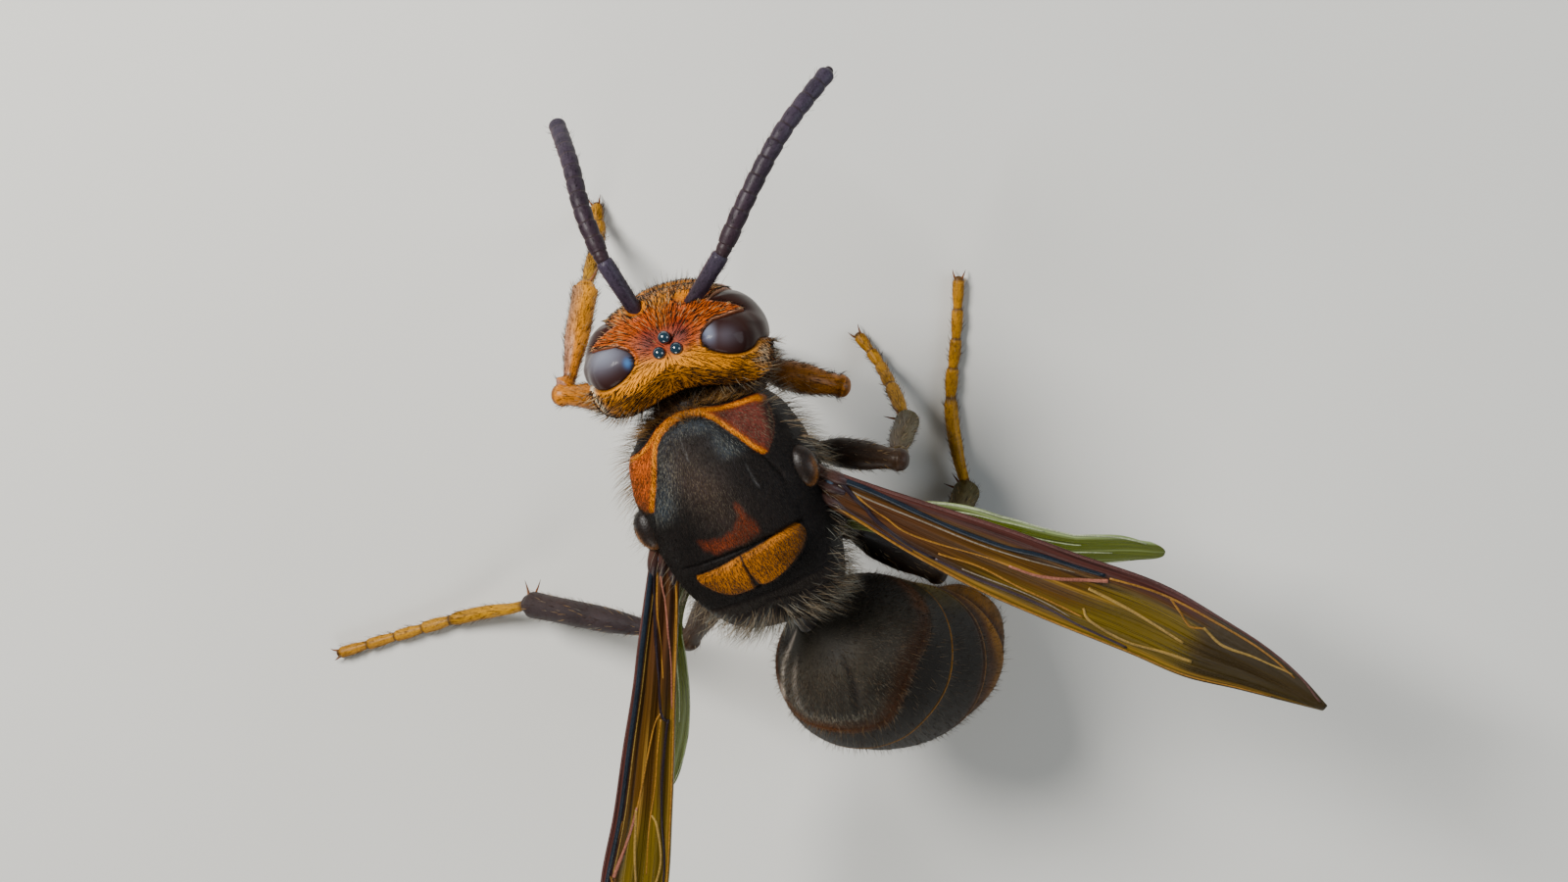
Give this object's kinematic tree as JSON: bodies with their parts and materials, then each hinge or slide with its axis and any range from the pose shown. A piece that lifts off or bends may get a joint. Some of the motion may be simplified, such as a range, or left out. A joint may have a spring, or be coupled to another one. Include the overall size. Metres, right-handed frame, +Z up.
{
  "type": "hornet model",
  "caption": "Life-size still model of a hornet worker standing on its feet, with folded amber wings, an orange head and a black thorax with a banded abdomen bent down behind it.",
  "frame": {"origin": "middle of the model's footprint box, on the plane its feet stand on", "axes": "+Z up, -Y the way the animal faces, +X its left side"},
  "size_m": [0.0314, 0.0284, 0.0144],
  "materials": {
    "orange_shell": "satin orange chitin with fine hair",
    "golden_shell": "satin golden orange chitin",
    "black_shell": "matt black chitin with brown-grey felt",
    "eye": "glossy dark brown",
    "rust_shell": "satin red-brown chitin",
    "gaster_dark": "satin black-brown chitin with thin yellow edges",
    "gaster_yellow": "satin orange-yellow chitin",
    "feeler": "satin purple-brown",
    "wing_amber": "glossy amber-brown membrane",
    "wing_clear": "glossy clear olive membrane",
    "leg_black": "satin black",
    "leg_olive": "satin dark olive",
    "leg_orange": "satin orange",
    "leg_yellow": "satin yellow"
  },
  "bodies": {
    "root": {"antenna_flagellum_left": "feeler", "antenna_flagellum_right": "feeler", "antenna_scape_left": "feeler", "antenna_scape_right": "feeler", "coxa_fore_left": "leg_black", "coxa_fore_right": "leg_black", "coxa_hind_left": "leg_black", "coxa_hind_right": "leg_black", "coxa_mid_left": "leg_black", "coxa_mid_right": "leg_black", "eye_left": "eye", "eye_right": "eye", "femur_fore_left": "leg_black", "femur_fore_right": "leg_black", "femur_hind_left": "leg_black", "femur_hind_right": "leg_black", "femur_mid_left": "leg_black", "femur_mid_right": "leg_black", "forewing_left": "wing_amber", "forewing_right": "wing_amber", "gaster_1": "gaster_dark", "gaster_2": "gaster_dark", "gaster_3": "gaster_dark", "gaster_4": "gaster_yellow", "gaster_5": "gaster_yellow", "gaster_6": "gaster_dark", "head": "orange_shell", "hindwing_left": "wing_clear", "hindwing_right": "wing_clear", "mandible_left": "rust_shell", "mandible_right": "rust_shell", "mesothorax": "black_shell", "mouthparts": "rust_shell", "neck": "black_shell", "petiole": "black_shell", "pronotum": "orange_shell", "propodeum": "black_shell", "scutellum": "golden_shell", "tarsus_fore_left": "leg_yellow", "tarsus_fore_right": "leg_yellow", "tarsus_hind_left": "leg_yellow", "tarsus_hind_right": "leg_yellow", "tarsus_mid_left": "leg_yellow", "tarsus_mid_right": "leg_yellow", "tegula_left": "rust_shell", "tegula_right": "rust_shell", "tibia_fore_left": "leg_orange", "tibia_fore_right": "leg_orange", "tibia_hind_left": "leg_olive", "tibia_hind_right": "leg_olive", "tibia_mid_left": "leg_olive", "tibia_mid_right": "leg_olive"}
  },
  "joints": []
}
